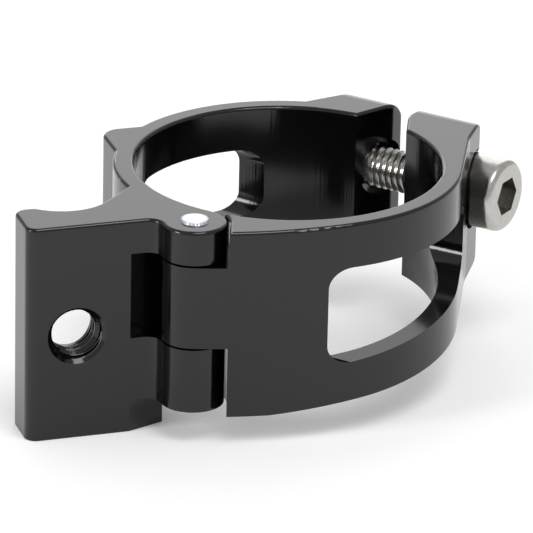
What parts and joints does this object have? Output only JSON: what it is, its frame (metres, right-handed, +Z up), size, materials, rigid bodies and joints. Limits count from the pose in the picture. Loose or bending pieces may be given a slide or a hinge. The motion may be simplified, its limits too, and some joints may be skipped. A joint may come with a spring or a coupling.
{
  "type": "front derailleur band clamp",
  "caption": "Hinged seat-tube band clamp with a threaded plate that carries a front derailleur, closed by a socket head bolt.",
  "frame": {"origin": "on the clamp's axis, at half the height of the band", "axes": "+Z up along the seat tube, -Y out of the face that the derailleur is bolted to, +X from the plate towards the clamp bolt"},
  "size_m": [0.0639, 0.0398, 0.0256],
  "materials": {
    "anodised_aluminium": "gloss black anodised",
    "pin_steel": "plain steel, knurled rim",
    "bolt_steel": "nickel plated"
  },
  "bodies": {
    "fixed_half": {"mount_half": "anodised_aluminium", "hinge_pin": "pin_steel"},
    "hinged_half": {"swing_half": "anodised_aluminium"},
    "washer": {"bolt_washer": "bolt_steel"},
    "bolt": {"clamp_bolt": "bolt_steel"}
  },
  "joints": [
    {"name": "clamp_open", "type": "hinge", "parent": "fixed_half", "child": "hinged_half", "pos_m": [-0.01535, -0.0145, 0], "axis": [0, 0, -1], "range_deg": [0, 105]},
    {"name": "bolt_travel", "type": "slide", "parent": "hinged_half", "child": "washer", "axis": [0.6613, -0.7501, 0], "range_m": [0, 0.005]},
    {"name": "bolt_turn", "type": "hinge", "parent": "washer", "child": "bolt", "pos_m": [0.01613, 0.01422, 0.00315], "axis": [0.6613, -0.7501, 0], "range_deg": [0, 2250]}
  ],
  "couplings": [
    {"joint": "bolt_turn", "follows": "bolt_travel", "rad_per_m": 7854}
  ]
}
